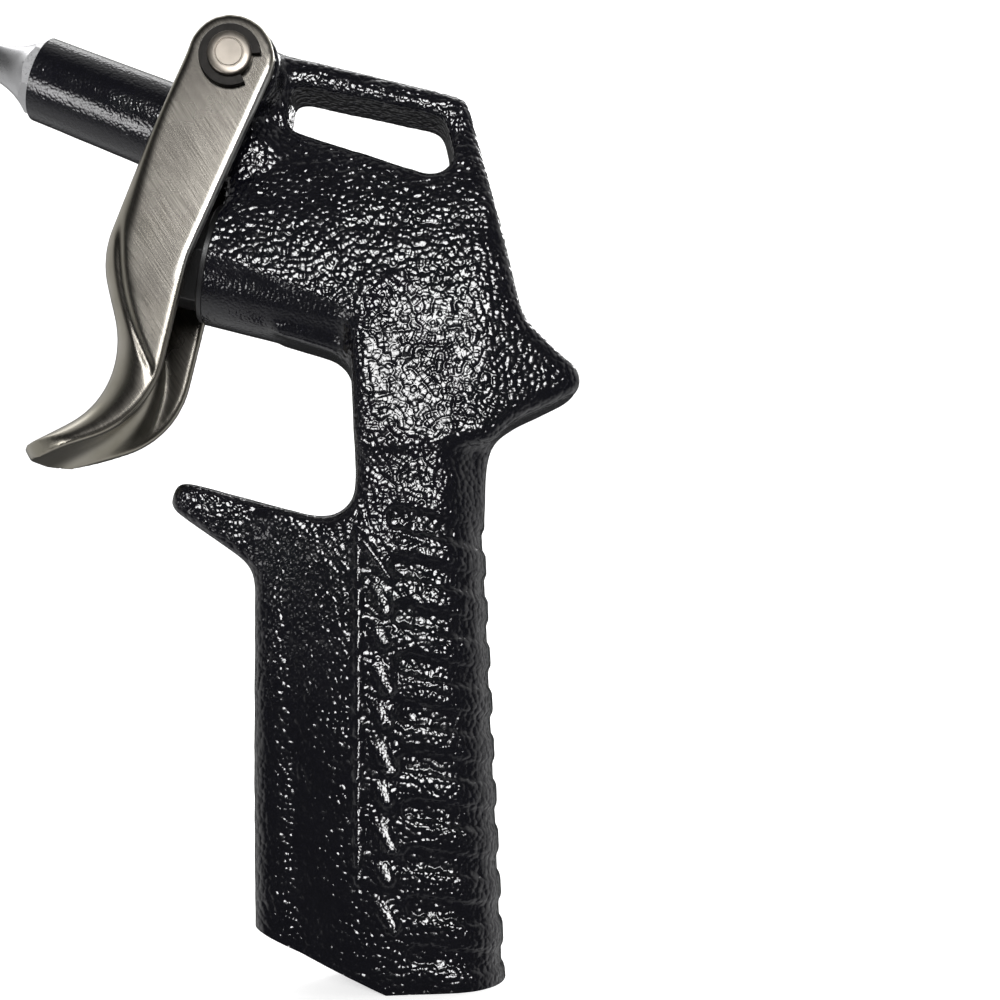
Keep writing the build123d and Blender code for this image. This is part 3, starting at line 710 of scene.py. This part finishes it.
def cast_body():
    """The casting: plugged, rounded, given its relief, then trimmed flat and bored again."""
    bm = bmesh.new()
    bm.from_mesh(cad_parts["body_casting"].data)
    bmesh.ops.remove_doubles(bm, verts=bm.verts, dist=MERGE_DISTANCE)
    bm.normal_update()
    run_on(bm, *flat_end(BARREL), RUN_ON)
    run_on(bm, *flat_end(VALVE), RUN_ON)

    def on_foot(face):
        return face.normal.z < FOOT_FACING and face.calc_center_median().z < FOOT_TOP_Z * MM

    run_on(bm, on_foot, Vector((0, 0, -1)), 2 * RUN_ON)
    for plug in bore_tools(PLUG):
        add_into(bm, plug)
    body = object_from(bm, "cast_body")
    voxelise(body, SKIN)
    weight = edge_weight(coordinates(body.data))
    relax(body.data, np.ones(len(weight)), EVEN_ROUNDS)
    relax(body.data, weight, round(4 * (ROUNDING / SKIN) ** 2))
    store(body.data, narrowed(coordinates(body.data)))
    points = coordinates(body.data)
    facing = normals(body.data)
    height = relief(points, facing) + ripple(points)
    store(body.data, points + facing * (height * MM)[:, None])
    below = FOOT_LINE + [(FOOT_LINE[-1][0], FOOT_CUT_Z), (FOOT_LINE[0][0], FOOT_CUT_Z)]
    upright = frame_matrix(Vector((0, 0, 0)), Vector((1, 0, 0)), Vector((0, -1, 0)))
    combine(body, prism(below, upright, -FOOT_CUT_HALF, FOOT_CUT_HALF), "DIFFERENCE")
    for matrix, reach in ((BARREL, BARREL_TRIM_R), (VALVE, VALVE_TRIM_R)):
        combine(body, turned(plain_rod(reach, -2 * RUN_ON, 0), matrix), "DIFFERENCE")
    for tool in bore_tools():
        combine(body, tool, "DIFFERENCE")
    soften(body.data, CASTING_SHARP)
    finish_piece(body, "frame", ENAMEL, "painted_casting", "body_casting")
    second_material(body.data, FINE_ENAMEL, fine_zone(face_values(body.data, "center")))


cast_body()


# ---- Lever ----
LEVER_HALF = 12.0
SHEET = 2.0
EAR_R = 5.9
EAR_HOLE_R = 3.05
WEB_TOP_DISTANCE = 17.5
LEVER_TILT = 27.0
LEVER_SKIN = 0.31
NOSE_PLAN_R = 9.0
SHARP_BEND = 0.7
KNEE_BEND = 4.2
TAIL_BEND = 8.5
LEAST_BEND = 0.4
BEND_DEPTH_SHARE = 0.8
BEND_STEPS = 10
NOSE_STEPS = 12
STATION_COUNTS = (30, 18, 22)
# Shares of the way from ear to tail where the bends begin to open, reach the knee's, and end.
OPEN_SHARE, KNEE_SHARE, TAIL_SHARE = 0.12, 0.5, 0.95
CHANNEL_FIRST_STATION = 14
CHANNEL_RUN_OUT = 6.0
NOSE_CLEAR = 0.05
FAR = 60.0
# Corners (X, Z) with their radii, each line from the ear down to the tail.
LEVER_FRONT = [((-28.7, 132.3), 0), ((-43.1, 104.0), 12), ((-39.9, 86.0), 13), ((-56.1, 78.5), 0)]
LEVER_REAR = [((-18.3, 126.9), 0), ((-30.6, 102.7), 12), ((-37.0, 81.0), 14.5), ((-51.2, 77.3), 2.5),
              ((-55.5, 76.0), 0)]


def unit(vector):
    return vector / np.linalg.norm(vector)


def rounded_line(corners, steps=12):
    """Straight runs joined by arcs, and the index of each arc's middle."""
    line = [np.array(corners[0][0])]
    middles = []
    for (before, _), (corner, radius), (after, _) in zip(corners, corners[1:], corners[2:]):
        corner = np.array(corner)
        back = unit(np.array(before) - corner)
        on = unit(np.array(after) - corner)
        half_turn = math.pi / 2 - math.acos(back @ on) / 2
        centre = corner + unit(back + on) * radius / math.cos(half_turn)
        outward = unit(corner - centre)
        forward = unit(on - back)
        middles.append(len(line) + steps // 2)
        for k in range(steps + 1):
            a = half_turn * (2 * k / steps - 1)
            line.append(centre + radius * (math.cos(a) * outward + math.sin(a) * forward))
    line.append(np.array(corners[-1][0]))
    return np.array(line), middles


def stations(corners):
    """Points along a rounded line, evenly spread between its end, its first two bends and its other end."""
    line, middles = rounded_line(corners)
    marks = [0, middles[0], middles[1], len(line) - 1]
    found = []
    for start, end, count in zip(marks, marks[1:], STATION_COUNTS):
        part = line[start:end + 1]
        run = np.concatenate([[0], np.cumsum(np.linalg.norm(np.diff(part, axis=0), axis=1))])
        at = np.linspace(0, run[-1], count, endpoint=False)
        found.append(np.stack([np.interp(at, run, part[:, 0]), np.interp(at, run, part[:, 1])], axis=1))
    found.append(line[-1:])
    return np.concatenate(found)


def bend_radius(share):
    """The front bends are sharp at the ears and grow rounder towards the tail."""
    to_knee = float(ramp(share, OPEN_SHARE, KNEE_SHARE))
    to_tail = float(ramp(share, KNEE_SHARE, TAIL_SHARE))
    return SHARP_BEND + (KNEE_BEND - SHARP_BEND) * to_knee + (TAIL_BEND - KNEE_BEND) * to_tail


def lever_loft(inset, reach, first=0, run_out=0.0):
    """The solid inside the lever's outer skin, or one sheet further in."""
    front, rear = stations(LEVER_FRONT), stations(LEVER_REAR)
    last = len(front) - 1
    places = [(front[k], rear[k], k / last) for k in range(first, last + 1)]
    if run_out:
        tail = unit(np.array(LEVER_FRONT[-1][0]) - np.array(LEVER_FRONT[-2][0])) * run_out
        places.append((front[-1] + tail, rear[-1] + tail, 1.0))
    half = LEVER_HALF - inset
    bm = bmesh.new()
    rings = []
    for f, r, share in places:
        depth = np.linalg.norm(r - f)
        inwards = unit(r - f)
        across = max(bend_radius(share) - inset, LEAST_BEND)
        down = min(across, BEND_DEPTH_SHARE * depth)
        quarter = [math.pi / 2 * k / BEND_STEPS for k in range(BEND_STEPS + 1)]
        side = [(half, depth + reach)]
        side += [(half - across + across * math.cos(a), inset + down - down * math.sin(a)) for a in quarter]
        section = side + [(-w, d) for w, d in reversed(side)]
        ring = []
        for w, d in section:
            x, z = (f + inwards * d) * MM
            ring.append(bm.verts.new((x, w * MM, z)))
        rings.append(ring)
    close_rings(bm, rings)
    return bm


def ear_window():
    """The opening above the web, where only the two ears run on to the pin."""
    lean = math.radians(LEVER_TILT)
    up = np.array((math.sin(lean), math.cos(lean)))
    aside = np.array((math.cos(lean), -math.sin(lean)))
    foot = -up * WEB_TOP_DISTANCE
    near, beyond = foot - aside * FAR, foot + aside * FAR
    outline = [near, beyond, beyond + up * FAR, near + up * FAR]
    return prism(outline, CROSS, -LEVER_HALF + SHEET, LEVER_HALF - SHEET)


def nose_plan():
    """The tail's outline from above, rounded at its end."""
    waist, tip = (np.array(corner) for corner, _ in LEVER_FRONT[-2:])
    tail = unit(tip - waist)
    matrix = frame_matrix(Vector((tip[0] * MM, 0, tip[1] * MM)), Vector((tail[0], 0, tail[1])),
                          Vector((tail[1], 0, -tail[0])))
    half = LEVER_HALF + NOSE_CLEAR
    quarter = [math.pi / 2 * k / NOSE_STEPS for k in range(NOSE_STEPS + 1)]
    end = [(-NOSE_PLAN_R * (1 - math.sin(a)), half - NOSE_PLAN_R * (1 - math.cos(a))) for a in quarter]
    outline = [(-2 * FAR, half)] + end + [(x, -y) for x, y in reversed(end)] + [(-2 * FAR, -half)]
    return prism(outline, matrix, -FAR, FAR)


# The press mark's line, how far it bows, and where it fades at its ends, sideways and round the bend.
PRESS_TOP = (-42.2, 108.5)
PRESS_FOOT = (-39.0, 88.0)
PRESS_BOW = -1.5
PRESS_OFFSET = 2.6
PRESS_DEPTH = 0.3
PRESS_HALF = 0.9
PRESS_FOOT_FADE, PRESS_TOP_FADE = (-4, 2), (-5, 2)
PRESS_SIDE, PRESS_TURN = (8.5, 10.5), (0.05, 0.4)


def press_mark(points, facing):
    """Depth of the fold that pressing leaves on each flank between knee and waist."""
    x, y, z = points.T / MM
    (foot_x, foot_z), (top_x, top_z) = PRESS_FOOT, PRESS_TOP
    share = np.clip((z - foot_z) / (top_z - foot_z), 0, 1)
    line = foot_x + (top_x - foot_x) * share + PRESS_BOW * np.sin(math.pi * share)
    ends = ramp(z, foot_z + PRESS_FOOT_FADE[0], foot_z + PRESS_FOOT_FADE[1])
    ends *= fade(z, top_z + PRESS_TOP_FADE[0], top_z + PRESS_TOP_FADE[1])
    outside = ramp(np.abs(y), *PRESS_SIDE) * ramp(facing[:, 1] * np.sign(y), *PRESS_TURN)
    return -PRESS_DEPTH * fade(np.abs(x - line - PRESS_OFFSET), 0, PRESS_HALF) * ends * outside


def lever():
    """A channel pressed from sheet: two flanks with ears, joined by a web along the front."""
    piece = object_from(lever_loft(0.0, 0.0), "squeeze_lever")
    combine(piece, turned(plain_rod(EAR_R, -LEVER_HALF, LEVER_HALF), CROSS), "UNION")
    combine(piece, nose_plan(), "INTERSECT")
    channel = lever_loft(SHEET, CHANNEL_RUN_OUT, first=CHANNEL_FIRST_STATION, run_out=CHANNEL_RUN_OUT)
    combine(piece, channel, "DIFFERENCE")
    combine(piece, ear_window(), "DIFFERENCE")
    voxelise(piece, LEVER_SKIN)
    mesh = piece.data
    relax(mesh, np.ones(len(mesh.vertices)), EVEN_ROUNDS)
    points, facing = coordinates(mesh), normals(mesh)
    store(mesh, points + facing * (press_mark(points, facing) * MM)[:, None])
    past_ear = LEVER_HALF + 1
    combine(piece, turned(plain_rod(EAR_HOLE_R, -past_ear, past_ear), CROSS), "DIFFERENCE")
    soften(piece.data, 45)
    finish_piece(piece, "lever", LEVER_STEEL, "pressed_steel", "lever")


lever()


# ---- Pin, clip, cap and spring ----
def ring_section(middle_r, half_width, low, high, edge):
    """A rectangular ring section with eased corners, as (radius, distance) points."""
    inner, outer = middle_r - half_width, middle_r + half_width
    return [(inner + edge, low), (outer - edge, low), (outer, low + edge), (outer, high - edge),
            (outer - edge, high), (inner + edge, high), (inner, high - edge), (inner, low + edge)]


def lever_pin():
    """The cross pin: a low head behind, a clip groove, and a turned face in front."""
    face = [(3.0, 13.4), (2.9, 13.58), (2.7, 13.68)]
    turned_ring = [(1.98, 13.68), (1.92, 13.6), (1.84, 13.6), (1.76, 13.68), (0, 13.68)]
    shank = [(3.0, -12.1), (3.0, 12.1), (2.5, 12.1), (2.5, 12.9), (3.0, 12.9)]
    head = [(0, -13.4), (4.0, -13.4), (4.4, -13.0), (4.4, -12.1)]
    piece = object_from(turned(head + shank + face + turned_ring, CROSS), "cross_pin")
    soften(piece.data, 30)
    finish_piece(piece, "frame", PIN_STEEL, "turned_steel", "lever_pin")


CLIP_MOUTH = (-64.0, 0.0)
CLIP_STEPS = 72


def pin_clip():
    """An open ring of flat black spring steel with square ends."""
    section = ring_section(middle_r=3.385, half_width=0.865, low=12.12, high=12.88, edge=0.1)
    sweep = 360 - (CLIP_MOUTH[1] - CLIP_MOUTH[0])
    bm = bmesh.new()
    rings = []
    for k in range(CLIP_STEPS + 1):
        a = math.radians(CLIP_MOUTH[1] + sweep * k / CLIP_STEPS)
        cos, sin = math.cos(a), math.sin(a)
        rings.append([bm.verts.new((r * MM * cos, r * MM * sin, s * MM)) for r, s in section])
    close_rings(bm, rings)
    bmesh.ops.transform(bm, matrix=CROSS, verts=bm.verts)
    piece = object_from(bm, "snap_clip")
    soften(piece.data, 30)
    finish_piece(piece, "frame", CLIP_STEEL, "black_spring_steel", "pin_clip")


def eased_hexagon(across_flats, matrix, start, end, edge):
    """A hexagonal prism with eased edges and a corner facing each side."""
    corner = across_flats / math.sqrt(3)
    outline = [(corner * math.cos(math.pi / 3 * k), corner * math.sin(math.pi / 3 * k)) for k in range(6)]
    bm = prism(outline, matrix, start, end)
    bmesh.ops.bevel(bm, geom=bm.edges[:], offset=edge * MM, segments=3, affect="EDGES", profile=0.5)
    return bm


def valve_cap():
    """The moulded cap: a hexagon, a flange against the housing and the shank inside it."""
    flange = [(0, -1.0), (8.3, -1.0), (8.5, -0.8), (8.5, -0.2), (8.3, 0)]
    shank = [(6.95, 0), (6.95, 5.0), (6.15, 5.0), (6.15, 8.0), (0, 8.0)]
    stem_way = [(0, -8), (2.6, -8), (2.6, -6.3), (2.05, -5.8), (2.05, 9), (0, 9)]
    piece = object_from(turned(flange + shank, VALVE), "cap")
    hexagon = eased_hexagon(across_flats=13.0, matrix=VALVE, start=-6.5, end=-0.5, edge=0.3)
    combine(piece, hexagon, "UNION")
    combine(piece, turned(stem_way, VALVE), "DIFFERENCE")
    soften(piece.data, 30)
    finish_piece(piece, "frame", CAP_BLACK, "black_cap", "valve_cap")


SPRING_SPAN = (25.9, 35.62)
SPRING_TURNS = 6
SPRING_MEAN_R = 3.4
SPRING_WIRE_R = 0.35
SPRING_STEPS_PER_TURN = 40
WIRE_SIDES = 12
CLOSED_SHARE = 0.35  # of the rise that eases in and out, which closes the end turns


def return_spring():
    """A coil spring behind the poppet, closed at both ends."""
    steps = SPRING_STEPS_PER_TURN * SPRING_TURNS
    low, high = SPRING_SPAN
    bm = bmesh.new()
    rings = []
    for k in range(steps + 1):
        share = k / steps
        a = 2 * math.pi * SPRING_TURNS * share
        rise = float(ramp(share, 0.0, 1.0)) * CLOSED_SHARE + share * (1 - CLOSED_SHARE)
        height = low + (high - low) * rise
        centre = Vector((SPRING_MEAN_R * math.cos(a), SPRING_MEAN_R * math.sin(a), height))
        out = Vector((math.cos(a), math.sin(a), 0))
        rings.append([])
        for j in range(WIRE_SIDES):
            b = 2 * math.pi * j / WIRE_SIDES
            point = centre + SPRING_WIRE_R * (out * math.cos(b) + Vector((0, 0, 1)) * math.sin(b))
            rings[-1].append(bm.verts.new(point * MM))
    close_rings(bm, rings)
    bmesh.ops.transform(bm, matrix=VALVE, verts=bm.verts)
    piece = object_from(bm, "return_spring")
    soften(piece.data, 60)
    finish_piece(piece, "valve", SPRING_WIRE, "spring_steel", "valve_spring")
    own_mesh(piece)


lever_pin()
pin_clip()
valve_cap()
return_spring()


# ---- Carried-over nodes ----
NODE_MATERIALS = {
    "cap_seal": RUBBER,
    "valve_cage": BRASS,
    "cage_seal": RUBBER,
    "valve_stem": BRASS,
    "stem_seal": RUBBER,
    "poppet_seal": RUBBER,
    "poppet_washer": PLATED,
    "poppet_nut": PLATED,
    "nozzle": ALUMINIUM,
    "nozzle_seal": RUBBER,
}
for name, material in NODE_MATERIALS.items():
    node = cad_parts[name]
    for slot in node.material_slots:
        slot.material = material


# ---- Studio ----
FLOOR_GLOW = 0.6
FLOOR_ROUGHNESS = 0.6
FLOOR_CLOUD_SIZE = 60.0  # millimetres
FLOOR_DARK, FLOOR_LIGHT = (0.86, 0.86, 0.86), (0.9, 0.9, 0.9)
# Share of the way from in front (0) to behind (1), and the light from there.
WORLD_BAND = [(0.0, 0.06), (0.25, 0.06), (0.5, 0.6), (0.85, 0.7), (0.94, 0.1), (1.0, 0.02)]


def sweep_backdrop():
    """A floor that curves up into a wall behind the object."""
    bm = bmesh.new()
    radius, near, far, top, half, steps = 0.5, -0.7, 0.7, 1.6, 1.6, 24
    line = [(near, 0.0), (far, 0.0)]
    for k in range(1, steps + 1):
        a = math.pi / 2 * k / steps
        line.append((far + radius * math.sin(a), radius * (1 - math.cos(a))))
    line.append((far + radius, top))
    left = [bm.verts.new((-half, y, z)) for y, z in line]
    right = [bm.verts.new((half, y, z)) for y, z in line]
    for k in range(len(line) - 1):
        bm.faces.new((left[k], right[k], right[k + 1], left[k + 1]))
    bmesh.ops.recalc_face_normals(bm, faces=bm.faces)
    floor = object_from(bm, "studio_floor")
    floor.data.shade_smooth()
    n = Nodes("pale_floor")
    cloud = n.noise(n.place(), FLOOR_CLOUD_SIZE)
    n.set(Base_Color=n.mix(cloud, FLOOR_DARK, FLOOR_LIGHT), Roughness=FLOOR_ROUGHNESS,
          Emission_Color=(1, 1, 1, 1), Emission_Strength=FLOOR_GLOW)
    floor.data.materials.append(n.material)
    floor.visible_glossy = False


def light(name, place, target, size, power, beam=180):
    """A rectangular lamp at a place, turned to a target, with its power in watts and its beam in degrees."""
    data = bpy.data.lights.new(name, "AREA")
    data.shape = "RECTANGLE"
    data.size, data.size_y = size
    data.energy = power
    data.spread = math.radians(beam)
    obj = bpy.data.objects.new(name, data)
    obj.location = place
    obj.rotation_euler = (Vector(target) - Vector(place)).to_track_quat("-Z", "Y").to_euler()
    bpy.context.scene.collection.objects.link(obj)


def surroundings():
    """White round the sides, dim in front and behind, and white to the camera."""
    world = bpy.data.worlds.new("studio")
    bpy.context.scene.world = world
    world.use_nodes = True
    tree = world.node_tree
    coordinate = tree.nodes.new("ShaderNodeTexCoord")
    split = tree.nodes.new("ShaderNodeSeparateXYZ")
    tree.links.new(coordinate.outputs["Generated"], split.inputs["Vector"])
    spread = tree.nodes.new("ShaderNodeMapRange")
    spread.inputs["From Min"].default_value = -1.0
    tree.links.new(split.outputs["Y"], spread.inputs["Value"])
    band = tree.nodes.new("ShaderNodeValToRGB")
    tree.links.new(spread.outputs["Result"], band.inputs["Fac"])
    stops = band.color_ramp.elements
    for place, _ in WORLD_BAND[1:-1]:
        stops.new(place)
    for stop, (place, level) in zip(stops, WORLD_BAND):
        stop.position = place
        stop.color = (level, level, level, 1)
    path = tree.nodes.new("ShaderNodeLightPath")
    seen = tree.nodes.new("ShaderNodeMath")
    seen.operation = "MAXIMUM"
    tree.links.new(band.outputs["Color"], seen.inputs[0])
    tree.links.new(path.outputs["Is Camera Ray"], seen.inputs[1])
    tree.links.new(seen.outputs["Value"], tree.nodes["Background"].inputs["Strength"])
    tree.nodes["Background"].inputs["Color"].default_value = (1, 1, 1, 1)


sweep_backdrop()
surroundings()
light("key", (0.026, -0.588, 0.215), target=(0.0034, 0, 0.094), size=(0.2, 0.2), power=2.6)
light("side_card", (-0.124, -0.106, 0.068), target=(-0.045, 0, 0.125), size=(0.06, 0.1), power=0.0065,
      beam=36)
light("back_fill", (0.22, 0.5, 0.42), target=(0, 0, 0.09), size=(0.25, 0.25), power=1.5)
light("floor_wash", (0.0, 0.45, 0.9), target=(0.0, 0.7, 0.0), size=(1.6, 0.5), power=5.0)


# ---- Camera ----
LENS = 47.17
SENSOR_WIDTH = 36.0
SHIFT = 0.1
CAMERA_PLACE = (-0.0039, -0.190, 0.0548)
CAMERA_ROLL = 2.66
NEAR_CLIP = 0.01


def level_camera():
    """A camera that looks level along +Y, rolled a little about its line of sight."""
    data = bpy.data.cameras.new("camera")
    data.lens = LENS
    data.sensor_width = SENSOR_WIDTH
    data.shift_x = SHIFT
    data.shift_y = SHIFT
    data.clip_start = NEAR_CLIP
    camera = bpy.data.objects.new("camera", data)
    roll = math.radians(CAMERA_ROLL)
    cos, sin = math.cos(roll), math.sin(roll)
    x, y, z = CAMERA_PLACE
    camera.matrix_world = Matrix(((cos, sin, 0, x), (0, 0, -1, y), (-sin, cos, 0, z), (0, 0, 0, 1)))
    bpy.context.scene.collection.objects.link(camera)
    bpy.context.scene.camera = camera


level_camera()
bpy.context.scene.view_settings.view_transform = "Standard"
